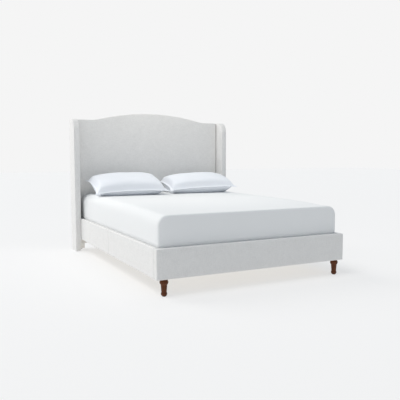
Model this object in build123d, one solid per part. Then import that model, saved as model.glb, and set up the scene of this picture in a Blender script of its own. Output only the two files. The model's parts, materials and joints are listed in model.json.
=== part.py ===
from build123d import *
import os
from math import sqrt

# Upholstered queen bed with a winged camelback headboard, as it would come apart on a bench.
# Millimetres. +X is right seen from the foot, +Y runs towards the headboard, +Z is up. The origin is
# on the floor, under the middle of the bed's width and length.

# Mattress and sheet
mattress_width = 1524.0
mattress_length = 2032.0
mattress_height = 300.0
mattress_side_gap = 4.0
mattress_foot_gap = 4.0
mattress_head_gap = 15.0
mattress_shoulder_radius = 76.0
mattress_base_radius = 20.0
mattress_end_radius = 10.0
mattress_wall = 26.0
sheet_thickness = 1.2
sheet_gap = 0.2
sheet_hem_height = 3.0

# Pillows and pillowcases
pillow_length = 712.0
pillow_depth = 474.0
pillow_crown = 124.0
pillow_belly = 120.0
pillow_end_sag = 28.0
pillow_side_sag = 26.0
pillowcase_thickness = 1.5
pillowcase_gap = 0.3
left_pillow_x = -380.6
left_pillow_from_headboard = 313.0
left_pillow_height = 94.0
left_pillow_yaw = -3.4
left_pillow_roll = -1.1
left_pillow_tilt = 14.5
right_pillow_x = 411.8
right_pillow_from_headboard = 285.1
right_pillow_height = 92.4
right_pillow_yaw = -6.9
right_pillow_roll = -2.1
right_pillow_tilt = 12.7
# How far down the dome each ring of a pillow lies: 0 at its seam, 1 at its crown.
pillow_ring_shares = (0.0, 0.04, 0.15, 0.35, 0.6, 0.82, 0.95, 0.995)
# How full the pillow is between its seam and its crown or belly: the lower, the fuller.
pillow_crown_power_share = 0.45
pillow_belly_power_share = 0.8

# Upholstery
cover_thickness = 3.0
rail_edge_radius = 6.0
cover_lip_height = 16.0
foot_window_margin = 90.0

# Rails
rail_height = 208.0
rail_underside = 117.0
side_board_thickness = 24.0
foot_board_thickness = 44.0
rail_joint_gap = 0.6

# Slats, ledgers, centre beam
slat_count = 12
slat_width = 90.0
slat_thickness = 18.0
slat_recess = 75.0
slat_end_gap = 5.0
strap_width = 25.0
strap_thickness = 1.2
strap_from_middle = 400.0
ledger_width = 30.0
ledger_height = 36.0
beam_width = 40.0
beam_height = 60.0
beam_end_gap = 1.0

# Steel brackets, plates and hangers
steel_thickness = 4.0
bracket_length = 90.0
bracket_flange = 46.0
bracket_clearance = 2.0
plate_length = 160.0
plate_height = 50.0
hanger_depth = 45.0
hanger_side_gap = 0.5
hanger_flange = 34.0

# Fasteners
bolt_radius = 4.0
bolt_head_radius = 7.0
bolt_head_height = 4.0
bolt_bite = 16.0
long_bolt_bite = 18.0
hanger_bolt_radius = 4.0
hanger_bolt_bite = 32.0
wing_bolt_bite = 22.0
# Where bolts lie along the piece that they hold, as shares of its length from its middle or its end.
bracket_bolt_shares = (0.4, 0.8)
plate_bolt_shares = (-0.4, -0.18, 0.18, 0.4)
low_wing_bolt_share = 0.8

# Legs, levelling feet, glides
leg_inset = 64.0
leg_setback = 30.5
leg_neck_radius = 25.5
leg_collar_radius = 30.2
leg_cove_radius = 21.8
leg_ankle_radius = 18.2
leg_ring_radius = 21.8
leg_toe_radius = 16.0
leg_neck_height = 7.0
leg_collar_height = 26.0
leg_cove_height = 11.0
leg_ring_height = 20.0
leg_toe_height = 3.5
centre_leg_width = 40.0
centre_leg_chamfer = 4.0
centre_leg_places_share = (0.34, 0.68)
leveller_pad_radius = 18.0
leveller_pad_height = 10.0
leveller_pad_edge = 2.0
leveller_stem_radius = 4.0
leveller_travel = 15.0
leveller_grip = 33.0
leveller_stem_clearance = 0.1
glide_radius = 13.0
glide_height = 4.0
glide_edge = 1.5
glide_nail_radius = 1.5
glide_nail_length = 24.0
wing_glide_from_end = 32.0
wing_glide_from_outside = 17.0

# Headboard
headboard_foam_thickness = 20.0
plywood_thickness = 12.0
post_depth = 24.0
post_width = 70.0
back_cloth_thickness = 1.0
headboard_underside = 60.0
shoulder_height = 1311.0
crown_rise = 79.0
shoulder_start = 650.0
shoulder_radius = 400.0
headboard_edge_radius = 8.0
headboard_side_gap = 0.3
cross_rail_height = 90.0

# Wings
wing_projection = 125.0
wing_board_thickness = 30.0
wing_foam_thickness = 8.0
wing_rail_gap = 2.0
wing_corner_radius = 104.0
wing_edge_radius = 12.0
wing_toe_radius = 30.0
welt_radius = 3.0

# The space left between pieces that move apart
rest_gap = 0.3

# Places worked out from the sizes above
crown_height = shoulder_height + crown_rise
foot_rail_depth = foot_board_thickness + 2 * cover_thickness
side_rail_depth = side_board_thickness + 2 * cover_thickness
headboard_padding = cover_thickness + headboard_foam_thickness + plywood_thickness
headboard_depth = headboard_padding + post_depth + back_cloth_thickness
mattress_space = mattress_foot_gap + mattress_length + mattress_head_gap
overall_length = foot_rail_depth + mattress_space + headboard_depth
foot_y = -overall_length / 2
rail_start_y = foot_y + foot_rail_depth
headboard_y = rail_start_y + mattress_space
back_y = headboard_y + headboard_depth
plywood_y = headboard_y + cover_thickness + headboard_foam_thickness
post_y = plywood_y + plywood_thickness
joint_y = (rail_start_y + headboard_y) / 2
rail_inner_x = mattress_width / 2 + mattress_side_gap
board_inner_x = rail_inner_x + cover_thickness
board_outer_x = board_inner_x + side_board_thickness
bolt_face_x = board_inner_x - steel_thickness
rail_outer_x = board_outer_x + cover_thickness
wing_inner_x = rail_outer_x + wing_rail_gap
wing_thickness = wing_board_thickness + 2 * (wing_foam_thickness + cover_thickness)
wing_outer_x = wing_inner_x + wing_thickness
wing_front_y = headboard_y - wing_projection
headboard_side_x = wing_inner_x - headboard_side_gap
post_outer_x = headboard_side_x - cover_thickness
post_inner_x = post_outer_x - post_width
rail_top = rail_underside + rail_height
slat_top = rail_top - slat_recess
slat_underside = slat_top - slat_thickness
ledger_underside = slat_underside - ledger_height
beam_underside = slat_underside - beam_height
beam_middle_z = (slat_underside + beam_underside) / 2
bracket_underside = rail_underside + cover_thickness + cover_lip_height + bracket_clearance
bracket_height = ledger_underside - bracket_clearance - bracket_underside
bracket_middle_z = bracket_underside + bracket_height / 2
mattress_foot_y = rail_start_y + mattress_foot_gap
mattress_base = slat_top + rest_gap
mattress_top = mattress_base + mattress_height
bedding_top = mattress_top + sheet_gap + sheet_thickness
leg_x = rail_outer_x - leg_inset
leg_y = foot_y + leg_setback
leg_sole = glide_height
centre_leg_sole = leveller_pad_height + rest_gap
leveller_stem_length = leveller_travel + leveller_grip
sides = {"left": -1, "right": 1}


def block(x0, x1, y0, y1, z0, z1):
    """A box between two corners, given in any order."""
    place = Pos((x0 + x1) / 2, (y0 + y1) / 2, (z0 + z1) / 2)
    return place * Box(abs(x1 - x0), abs(y1 - y0), abs(z1 - z0))


def rod(start, direction, radius, length):
    """A round bar from a start point along a direction."""
    return extrude(Plane(start, z_dir=direction) * Circle(radius), length)


def joined(shapes):
    """Several separate solids as one group."""
    return Compound(children=[solid for shape in shapes for solid in shape.solids()])


def cut(shape, tools):
    """A shape with each tool taken out of it."""
    for tool in tools:
        shape = shape - tool
    return shape


# Fasteners come first, because the pieces that they pass through are drilled with them.


def bolt(seat, direction, length):
    """A round-headed bolt: its head lies on the seat and its shank runs along the direction."""
    shank = rod(seat, direction, bolt_radius, length)
    back = tuple(-part for part in direction)
    head = rod(seat, back, bolt_head_radius, bolt_head_height)
    head = fillet(head.edges().filter_by(GeomType.CIRCLE).sort_by_distance(seat)[-1], bolt_head_height / 2)
    return (shank + head).solid()


def bracket_sites():
    """Each corner bracket: the side, the face that it is bolted to and the way in from that face."""
    return [(side, y, way) for side in sides.values() for y, way in ((rail_start_y, 1), (headboard_y, -1))]


def bracket_bolt_heights():
    quarter = bracket_height / 4
    return (bracket_middle_z - quarter, bracket_middle_z + quarter)


def rail_bolts():
    """The identical short bolts of the brackets, the joining plates and the foot hanger."""
    length = steel_thickness + bolt_bite
    found = []
    for side, y, way in bracket_sites():
        for share in bracket_bolt_shares:
            seat_y = y + way * bracket_length * share
            found.append(bolt((side * bolt_face_x, seat_y, bracket_middle_z), (side, 0, 0), length))
        if way > 0:
            for z in bracket_bolt_heights():
                found.append(bolt((bracket_bolt_x(side), y + steel_thickness, z), (0, -1, 0), length))
    for side in sides.values():
        for step in plate_steps():
            found.append(bolt((side * bolt_face_x, joint_y + step, bracket_middle_z), (side, 0, 0), length))
    for step in plate_steps():
        seat = (beam_width / 2 + steel_thickness, joint_y + step, beam_middle_z)
        found.append(bolt(seat, (-1, 0, 0), length))
    for x in hanger_bolt_places():
        found.append(bolt((x, rail_start_y + steel_thickness, beam_middle_z), (0, -1, 0), length))
    return found


def bracket_bolt_x(side):
    return side * (bolt_face_x - bracket_flange / 2)


def plate_steps():
    return [plate_length * share for share in plate_bolt_shares]


def hanger_bolt_places():
    middle = beam_width / 2 + hanger_side_gap + steel_thickness + hanger_flange / 2
    return (-middle, middle)


def headboard_bolts():
    """Long bolts through the padding and the plywood into the posts and the lowest cross rail."""
    length = steel_thickness + headboard_padding + long_bolt_bite
    seats = [(bracket_bolt_x(side), z) for side in sides.values() for z in bracket_bolt_heights()]
    seats += [(x, beam_middle_z) for x in hanger_bolt_places()]
    return [bolt((x, headboard_y - steel_thickness, z), (0, 1, 0), length) for x, z in seats]


def cross_rail_heights():
    """The middles of the headboard's three cross rails. The lowest is level with the centre beam."""
    top = shoulder_height - cover_thickness - cross_rail_height / 2
    return (beam_middle_z, (beam_middle_z + top) / 2, top)


def wing_bolt_heights():
    """One bolt under the lowest cross rail and one between each two."""
    low, middle, top = cross_rail_heights()
    return (low - cross_rail_height * low_wing_bolt_share, (low + middle) / 2, (middle + top) / 2)


def wing_bolts():
    """Bolts from inside the headboard frame through each post into its wing board."""
    y = post_y + post_depth / 2
    to_board = wing_inner_x + cover_thickness + wing_foam_thickness - post_inner_x
    found = []
    for side in sides.values():
        for z in wing_bolt_heights():
            found.append(bolt((side * post_inner_x, y, z), (side, 0, 0), to_board + wing_bolt_bite))
    return found


def hanger_bolt(x, y, z):
    """A headless bolt, half in a leg and half in what the leg carries."""
    return rod((x, y, z - hanger_bolt_bite), (0, 0, 1), hanger_bolt_radius, 2 * hanger_bolt_bite)


def centre_leg_places():
    span = headboard_y - rail_start_y
    return [rail_start_y + span * share for share in centre_leg_places_share]


def leg_hanger_bolts():
    front = [hanger_bolt(side * leg_x, leg_y, rail_underside) for side in sides.values()]
    return front + [hanger_bolt(0, y, beam_underside) for y in centre_leg_places()]


def glide(x, y):
    """A nail-on floor glide: a round foot with its nail up in the piece above."""
    foot = rod((x, y, 0), (0, 0, 1), glide_radius, glide_height)
    foot = fillet(foot.edges().filter_by(GeomType.CIRCLE).group_by(Axis.Z)[0], glide_edge)
    nail = rod((x, y, glide_height), (0, 0, 1), glide_nail_radius, glide_nail_length)
    return (foot + nail).solid()


def floor_glides():
    wing_x = wing_outer_x - wing_glide_from_outside
    ends = (wing_front_y + wing_glide_from_end, back_y - wing_glide_from_end)
    found = []
    for side in sides.values():
        found.append(glide(side * leg_x, leg_y))
        found.append(glide(side * (post_outer_x + post_inner_x) / 2, post_y + post_depth / 2))
        found += [glide(side * wing_x, y) for y in ends]
    return found


# Headboard


def headboard_face(inset):
    """The camelback outline drawn in by an inset: a crown arc that runs into two level shoulders."""
    both_radii = (shoulder_start**2 + crown_rise**2) / (2 * crown_rise)
    crown_radius = both_radii - shoulder_radius
    crown_centre_z = crown_height - crown_radius
    dip_centre_z = shoulder_height + shoulder_radius
    crown = crown_radius - inset
    dip = shoulder_radius + inset
    meet_x = shoulder_start * crown_radius / both_radii
    meet_x -= inset * shoulder_start / both_radii
    meet_z = crown_centre_z + sqrt(crown**2 - meet_x**2)
    dip_x = (meet_x + shoulder_start) / 2
    dip_z = dip_centre_z - sqrt(dip**2 - (shoulder_start - dip_x) ** 2)
    side_x = headboard_side_x - inset
    top = shoulder_height - inset
    base = headboard_underside + inset
    apex = crown_centre_z + crown
    outline = [
        Line((-side_x, base), (side_x, base)),
        Line((side_x, base), (side_x, top)),
        Line((side_x, top), (shoulder_start, top)),
        ThreePointArc((shoulder_start, top), (dip_x, dip_z), (meet_x, meet_z)),
        ThreePointArc((meet_x, meet_z), (0, apex), (-meet_x, meet_z)),
        ThreePointArc((-meet_x, meet_z), (-dip_x, dip_z), (-shoulder_start, top)),
        Line((-shoulder_start, top), (-side_x, top)),
        Line((-side_x, top), (-side_x, base)),
    ]
    return make_face(Wire(outline))


def headboard_slab(inset, y0, y1, edge):
    """The camelback outline as a slab from y0 to y1, its front edges rounded."""
    slab = extrude(Plane(origin=(0, y0, 0), x_dir=(1, 0, 0), z_dir=(0, -1, 0)) * headboard_face(inset), y0 - y1)
    if edge > 0:
        slab = fillet(slab.faces().sort_by(Axis.Y)[0].edges(), edge)
    return slab


def headboard_post(side):
    top = shoulder_height - cover_thickness
    return block(side * post_inner_x, side * post_outer_x, post_y, post_y + post_depth, leg_sole, top)


def headboard_cross_rails():
    """Three rails between the posts: the lowest carries the beam's hanger, the highest follows the crown."""
    half = cross_rail_height / 2
    back = post_y + post_depth
    low, middle, top = cross_rail_heights()
    level = [block(-post_inner_x, post_inner_x, post_y, back, z - half, z + half) for z in (low, middle)]
    span = block(-post_inner_x, post_inner_x, post_y, back, top - half, crown_height)
    crown = headboard_slab(cover_thickness, post_y, back, 0) & span
    return level + crown.solids()


def headboard_panel():
    return headboard_slab(cover_thickness, plywood_y, post_y, 0)


def headboard_foam():
    edge = headboard_edge_radius - cover_thickness
    return headboard_slab(cover_thickness, headboard_y + cover_thickness, plywood_y, edge)


def headboard_cover():
    """Fabric and wadding over the front, turned round all four edges and open at the back."""
    back = post_y + post_depth
    outside = headboard_slab(0, headboard_y, back, headboard_edge_radius)
    edge = headboard_edge_radius - cover_thickness
    inside = headboard_slab(cover_thickness, headboard_y + cover_thickness, back, edge)
    return cut(outside - inside, [headboard_post(side) for side in sides.values()])


def headboard_back_cloth():
    return headboard_slab(back_cloth_thickness, post_y + post_depth, back_y, 0)


# Wings


def wing_form(side, skin, pad):
    """A wing's solid drawn in by a skin all round and by a pad on every side but its back."""
    inset = skin + pad
    front = wing_front_y + inset
    back = back_y - skin
    base = leg_sole + inset
    top = shoulder_height - inset
    corner = wing_corner_radius - inset
    turn = corner * (1 - sqrt(0.5))
    outline = [
        Line((back, base), (front, base)),
        Line((front, base), (front, top - corner)),
        ThreePointArc((front, top - corner), (front + turn, top - turn), (front + corner, top)),
        Line((front + corner, top), (back, top)),
        Line((back, top), (back, base)),
    ]
    inner = wing_inner_x + inset
    outer = wing_outer_x - inset
    plane = Plane(origin=(inner, 0, 0), x_dir=(0, 1, 0), z_dir=(1, 0, 0))
    form = extrude(plane * make_face(Wire(outline)), outer - inner)
    toe = form.edges().filter_by(Axis.Y).group_by(Axis.Z)[0].sort_by(Axis.X)[0]
    form = fillet(toe, wing_toe_radius - inset)
    edge = wing_edge_radius - inset
    if edge > 0:
        inner_top = form.edges().filter_by(Axis.Y).group_by(Axis.Z)[-1]
        curve = form.edges().filter_by(GeomType.CIRCLE).filter_by(lambda e: e.radius > wing_toe_radius)
        front_edges = form.edges().filter_by(Axis.Z).group_by(Axis.Y)[0]
        form = fillet(inner_top + curve + front_edges, edge)
    return form if side > 0 else mirror(form, Plane.YZ)


def wing_welts(side):
    """The piping along the inner and outer edges of a wing's front and top."""
    inset = welt_radius
    front = wing_front_y + inset
    top = shoulder_height - inset
    corner = wing_corner_radius - inset
    turn = corner * (1 - sqrt(0.5))
    base = leg_sole + wing_toe_radius
    back = back_y - cover_thickness
    found = []
    for x in (wing_inner_x + inset, wing_outer_x - inset):
        path = Wire(
            [
                Line((x, front, base), (x, front, top - corner)),
                ThreePointArc((x, front, top - corner), (x, front + turn, top - turn), (x, front + corner, top)),
                Line((x, front + corner, top), (x, back, top)),
            ]
        )
        section = Plane((x, front, base), z_dir=(0, 0, 1)) * Circle(welt_radius)
        welt = sweep(section, path=path)
        found.append(welt if side > 0 else mirror(welt, Plane.YZ))
    return found


def wing_board(side):
    return wing_form(side, cover_thickness, wing_foam_thickness)


def wing_foam(side):
    return wing_form(side, cover_thickness, 0) - wing_board(side)


def wing_cover(side):
    """Fabric and wadding round the whole wing, with its welts sewn in."""
    cover = wing_form(side, 0, 0) - wing_form(side, cover_thickness, 0)
    for welt in wing_welts(side):
        cover = cover + welt
    return cover


# Rails


def side_board(side, y0, y1):
    base = rail_underside + cover_thickness
    top = rail_top - cover_thickness
    board = block(side * board_inner_x, side * board_outer_x, y0, y1, base, top)
    outer = board.edges().filter_by(Axis.Y).group_by(Axis.X)[-1 if side > 0 else 0]
    return fillet(outer, rail_edge_radius - cover_thickness)


def side_cover(side, y0, y1):
    """Fabric and wadding round a side board: outer face, top and bottom, and a lip inside each."""
    whole = block(side * rail_inner_x, side * rail_outer_x, y0, y1, rail_underside, rail_top)
    outer = whole.edges().filter_by(Axis.Y).group_by(Axis.X)[-1 if side > 0 else 0]
    whole = fillet(outer, rail_edge_radius)
    low = rail_underside + cover_thickness + cover_lip_height
    high = rail_top - cover_thickness - cover_lip_height
    window = block(side * rail_inner_x, side * board_inner_x, y0, y1, low, high)
    return whole - side_board(side, y0, y1) - window


def rail_halves():
    """The two halves of a side rail along the bed, foot end first."""
    half_gap = rail_joint_gap / 2
    return {"foot": (rail_start_y, joint_y - half_gap), "head": (joint_y + half_gap, headboard_y)}


def slat_ledgers(side):
    """Two wooden strips on the inner face of a side rail's boards, one on each half."""
    inner = board_inner_x - ledger_width
    return [
        block(side * inner, side * board_inner_x, y0, y1, ledger_underside, slat_underside)
        for y0, y1 in rail_halves().values()
    ]


def foot_box(inset):
    """The foot rail drawn in by an inset, its front and end edges rounded."""
    x = rail_outer_x - inset
    back = rail_start_y - inset
    box = block(-x, x, foot_y + inset, back, rail_underside + inset, rail_top - inset)
    return fillet(box.faces().sort_by(Axis.Y)[0].edges(), rail_edge_radius - inset)


def foot_rail_cover():
    """Fabric and wadding round the whole foot board, with the stapled opening at its back."""
    x = rail_inner_x - foot_window_margin
    low = rail_underside + cover_thickness + cover_lip_height
    high = rail_top - cover_thickness - cover_lip_height
    window = block(-x, x, rail_start_y - cover_thickness, rail_start_y, low, high)
    return foot_box(0) - foot_box(cover_thickness) - window


# Slats, beam and steel


def slat(number):
    pitch = mattress_length / slat_count
    y = mattress_foot_y + pitch * (number + 0.5)
    x = board_inner_x - slat_end_gap
    return block(-x, x, y - slat_width / 2, y + slat_width / 2, slat_underside, slat_top)


def slat_straps():
    """Two webbing straps stapled under the slats, which keep them evenly spaced."""
    pitch = mattress_length / slat_count
    start = mattress_foot_y + (pitch - slat_width) / 2
    end = start + pitch * (slat_count - 1) + slat_width
    found = []
    for x in (-strap_from_middle, strap_from_middle):
        low = slat_underside - strap_thickness
        found.append(block(x - strap_width / 2, x + strap_width / 2, start, end, low, slat_underside))
    return found


def beam_half(name):
    y0, y1 = rail_halves()[name]
    pocket = steel_thickness + beam_end_gap
    y0 = y0 + pocket if name == "foot" else y0
    y1 = y1 - pocket if name == "head" else y1
    return block(-beam_width / 2, beam_width / 2, y0, y1, beam_underside, slat_underside)


def beam_hanger(y, way):
    """A steel shoe that the beam's end drops into: back plate with two ears, cheeks and a floor."""
    reach = beam_width / 2 + hanger_side_gap
    wide = reach + steel_thickness
    low = beam_underside - steel_thickness
    plate = block(-wide - hanger_flange, wide + hanger_flange, y, y + way * steel_thickness, low, slat_underside)
    shoe = block(-wide, wide, y, y + way * hanger_depth, low, slat_underside)
    start = y + way * steel_thickness
    pocket = block(-reach, reach, start, y + way * hanger_depth, beam_underside, slat_underside)
    return (plate + shoe - pocket).solid()


def corner_bracket(side, y, way):
    """A steel angle inside a corner: one leg along the side board, one flange on the end."""
    low = bracket_underside
    high = bracket_underside + bracket_height
    face = board_inner_x - steel_thickness
    leg = block(side * face, side * board_inner_x, y, y + way * bracket_length, low, high)
    flange_x = face - bracket_flange
    flange = block(side * flange_x, side * face, y, y + way * steel_thickness, low, high)
    return (leg + flange).solid()


def joining_plates():
    """Three identical flat plates: one inside each side rail's joint and one beside the beam's."""
    y0, y1 = joint_y - plate_length / 2, joint_y + plate_length / 2
    found = []
    half = plate_height / 2
    for side in sides.values():
        face = side * board_inner_x
        low, high = bracket_middle_z - half, bracket_middle_z + half
        found.append(block(face - side * steel_thickness, face, y0, y1, low, high))
    x = beam_width / 2
    found.append(block(x, x + steel_thickness, y0, y1, beam_middle_z - half, beam_middle_z + half))
    return found


# Legs


def front_leg(side):
    """A turned leg: neck, round collar, cove, straight taper, ring and rounded toe."""
    top = rail_underside
    neck = top - leg_neck_height
    collar = neck - leg_collar_height
    cove = collar - leg_cove_height
    toe = leg_sole + leg_toe_height
    ring = toe + leg_ring_height
    collar_middle = (neck + collar) / 2
    ring_middle = (ring + toe) / 2
    half_cove = (leg_cove_radius + leg_neck_radius) / 2 - leg_edge_dip()
    outline = [
        Line((0, leg_sole), (leg_toe_radius, leg_sole)),
        Line((leg_toe_radius, leg_sole), (leg_ankle_radius, toe)),
        ThreePointArc((leg_ankle_radius, toe), (leg_ring_radius, ring_middle), (leg_ankle_radius, ring)),
        Line((leg_ankle_radius, ring), (leg_cove_radius, cove)),
        ThreePointArc((leg_cove_radius, cove), (half_cove, (cove + collar) / 2), (leg_neck_radius, collar)),
        ThreePointArc((leg_neck_radius, collar), (leg_collar_radius, collar_middle), (leg_neck_radius, neck)),
        Line((leg_neck_radius, neck), (leg_neck_radius, top)),
        Line((leg_neck_radius, top), (0, top)),
        Line((0, top), (0, leg_sole)),
    ]
    profile = Plane.XZ * make_face(Wire(outline))
    return Pos(side * leg_x, leg_y, 0) * revolve(profile, Axis.Z)


def leg_edge_dip():
    """How far the cove's middle lies inside a straight line between its ends."""
    return (leg_neck_radius - leg_cove_radius) / 3


def centre_leg(y):
    half = centre_leg_width / 2
    leg = block(-half, half, y - half, y + half, centre_leg_sole, beam_underside)
    leg = chamfer(leg.faces().sort_by(Axis.Z)[0].edges(), centre_leg_chamfer)
    depth = leveller_stem_length + rest_gap
    hole = rod((0, y, centre_leg_sole), (0, 0, 1), leveller_stem_radius + leveller_stem_clearance, depth)
    return leg - hole


def levelling_foot(y):
    """A round pad with a threaded stem up inside the centre leg, at rest screwed fully in."""
    pad = rod((0, y, 0), (0, 0, 1), leveller_pad_radius, leveller_pad_height)
    pad = fillet(pad.edges().filter_by(GeomType.CIRCLE), leveller_pad_edge)
    stem_base = leveller_pad_height / 2
    stem_reach = leveller_pad_height / 2 + leveller_stem_length
    return (pad + rod((0, y, stem_base), (0, 0, 1), leveller_stem_radius, stem_reach)).solid()


# Mattress and bedding


def mattress_form(grow):
    """The mattress grown by a thickness on every side but its base: full shoulders along both sides."""
    half = mattress_width / 2 + grow
    base = mattress_base
    top = mattress_top + grow
    big = mattress_shoulder_radius + grow
    small = mattress_base_radius
    big_turn = big * (1 - sqrt(0.5))
    small_turn = small * (1 - sqrt(0.5))
    outline = [
        Line((-half + small, base), (half - small, base)),
        ThreePointArc((half - small, base), (half - small_turn, base + small_turn), (half, base + small)),
        Line((half, base + small), (half, top - big)),
        ThreePointArc((half, top - big), (half - big_turn, top - big_turn), (half - big, top)),
        Line((half - big, top), (-half + big, top)),
        ThreePointArc((-half + big, top), (-half + big_turn, top - big_turn), (-half, top - big)),
        Line((-half, top - big), (-half, base + small)),
        ThreePointArc((-half, base + small), (-half + small_turn, base + small_turn), (-half + small, base)),
    ]
    y0 = mattress_foot_y - grow
    length = mattress_length + 2 * grow
    plane = Plane(origin=(0, y0, 0), x_dir=(1, 0, 0), z_dir=(0, -1, 0))
    form = extrude(plane * make_face(Wire(outline)), -length)
    ends = form.faces().sort_by(Axis.Y)
    return fillet(ends[0].edges() + ends[-1].edges(), mattress_end_radius)


def mattress():
    """Foam all round a closed chamber, where the spring unit lies."""
    x = mattress_width / 2 - mattress_wall
    y0 = mattress_foot_y + mattress_wall
    y1 = mattress_foot_y + mattress_length - mattress_wall
    chamber = block(-x, x, y0, y1, mattress_base + mattress_wall, mattress_top - mattress_wall)
    chamber = fillet(chamber.edges().filter_by(Axis.Y), mattress_wall / 2)
    return mattress_form(0) - chamber


def fitted_sheet():
    """One skin over the top and the four sides, its hem just above the slats."""
    skin = mattress_form(sheet_gap + sheet_thickness) - mattress_form(sheet_gap)
    x = rail_inner_x
    below = block(-x, x, rail_start_y, headboard_y, slat_top, mattress_base + sheet_hem_height)
    return skin - below


def pillow_ring(half_length, half_depth, share, height):
    """One level line of a pillow: four arcs through its corners and the middles of its sides."""
    middle = sqrt(1 - share)
    corner = sqrt(1 - sqrt(share))
    end_x = middle * (half_length - pillow_end_sag)
    side_y = middle * (half_depth - pillow_side_sag)
    corner_x = corner * (half_length - pillow_end_sag * (1 - corner**2))
    corner_y = corner * (half_depth - pillow_side_sag * (1 - corner**2))
    arcs = [
        ThreePointArc((-corner_x, -corner_y), (0, -side_y), (corner_x, -corner_y)),
        ThreePointArc((corner_x, -corner_y), (end_x, 0), (corner_x, corner_y)),
        ThreePointArc((corner_x, corner_y), (0, side_y), (-corner_x, corner_y)),
        ThreePointArc((-corner_x, corner_y), (-end_x, 0), (-corner_x, -corner_y)),
    ]
    return Pos(0, 0, height) * make_face(Wire(arcs))


def pillow_form(side, inset):
    """A pillow with a crown, drawn-in sides and pinched corners, flat where it lies on the sheet."""
    half_length = pillow_length / 2 - inset
    half_depth = pillow_depth / 2 - inset
    halves = []
    domes = ((pillow_crown - inset, pillow_crown_power_share), (inset - pillow_belly, pillow_belly_power_share))
    for rise, power in domes:
        rings = []
        for share in pillow_ring_shares:
            rings.append(pillow_ring(half_length, half_depth, share, rise * share**power))
        halves.append(loft(rings))
    form = halves[0] + halves[1]
    x, y, z, yaw, roll, tilt = pillow_place(side)
    form = Pos(x, y, z) * Rot(0, 0, yaw) * Rot(0, roll, 0) * Rot(tilt, 0, 0) * form
    floor = bedding_top + rest_gap + inset
    reach = pillow_length + pillow_depth
    under = block(x - reach, x + reach, y - reach, y + reach, floor - pillow_belly - pillow_crown, floor)
    return (form - under).solid()


def pillow_place(side):
    """Where a pillow lies: its middle, then its yaw, roll and tilt."""
    if side < 0:
        y = headboard_y - left_pillow_from_headboard
        z = bedding_top + left_pillow_height
        return left_pillow_x, y, z, left_pillow_yaw, left_pillow_roll, left_pillow_tilt
    y = headboard_y - right_pillow_from_headboard
    z = bedding_top + right_pillow_height
    return right_pillow_x, y, z, right_pillow_yaw, right_pillow_roll, right_pillow_tilt


def pillowcase(side):
    return pillow_form(side, 0) - pillow_form(side, pillowcase_thickness)


def build_bed():
    """Every sub-part of the bed by its name."""
    short, long, through = rail_bolts(), headboard_bolts(), wing_bolts()
    studs, glides = leg_hanger_bolts(), floor_glides()
    nodes = {
        "rail_bolts": joined(short),
        "headboard_bolts": joined(long),
        "wing_bolts": joined(through),
        "leg_hanger_bolts": joined(studs),
        "floor_glides": joined(glides),
        "headboard_cross_rails": joined([cut(rail, long) for rail in headboard_cross_rails()]),
        "headboard_panel": cut(headboard_panel(), long),
        "headboard_foam": cut(headboard_foam(), long),
        "headboard_cover": cut(headboard_cover(), long + through),
        "headboard_back_cloth": headboard_back_cloth(),
        "joining_plates": joined([cut(plate, short) for plate in joining_plates()]),
        "corner_brackets": joined([cut(corner_bracket(*site), short + long) for site in bracket_sites()]),
        "beam_hangers": joined(
            [
                cut(beam_hanger(rail_start_y, 1), short),
                cut(beam_hanger(headboard_y, -1), long),
            ]
        ),
        "foot_rail_core": cut(foot_box(cover_thickness), short + studs),
        "foot_rail_cover": cut(foot_rail_cover(), short + studs),
        "slat_straps": joined(slat_straps()),
        "mattress": mattress(),
        "fitted_sheet": fitted_sheet(),
    }
    for name, side in sides.items():
        post = headboard_post(side)
        nodes[f"headboard_{name}_post"] = cut(post, long + through + glides)
        nodes[f"{name}_wing_board"] = cut(wing_board(side), through + glides)
        nodes[f"{name}_wing_foam"] = cut(wing_foam(side), through + glides)
        nodes[f"{name}_wing_cover"] = cut(wing_cover(side), through + glides)
        nodes[f"{name}_slat_ledgers"] = joined(slat_ledgers(side))
        nodes[f"{name}_front_leg"] = cut(front_leg(side), studs + glides)
        nodes[f"{name}_pillow"] = pillow_form(side, pillowcase_thickness + pillowcase_gap)
        nodes[f"{name}_pillowcase"] = pillowcase(side)
        for half, (y0, y1) in rail_halves().items():
            nodes[f"{name}_rail_{half}_core"] = cut(side_board(side, y0, y1), short)
            nodes[f"{name}_rail_{half}_cover"] = side_cover(side, y0, y1)
    for name, y in zip(("foot", "head"), centre_leg_places()):
        nodes[f"centre_beam_{name}"] = cut(beam_half(name), short + studs)
        nodes[f"centre_leg_{name}"] = cut(centre_leg(y), studs)
        nodes[f"levelling_foot_{name}"] = levelling_foot(y)
    for number in range(slat_count):
        nodes[f"slat_{number + 1:02d}"] = slat(number)
    return nodes


def main():
    os.makedirs("parts", exist_ok=True)
    for name, shape in build_bed().items():
        export_step(shape, f"parts/{name}.step")


main()
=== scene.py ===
import json
import math

import bpy
from bpy.props import FloatProperty, FloatVectorProperty, PointerProperty
from mathutils import Euler, Matrix, Vector, noise


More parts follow.
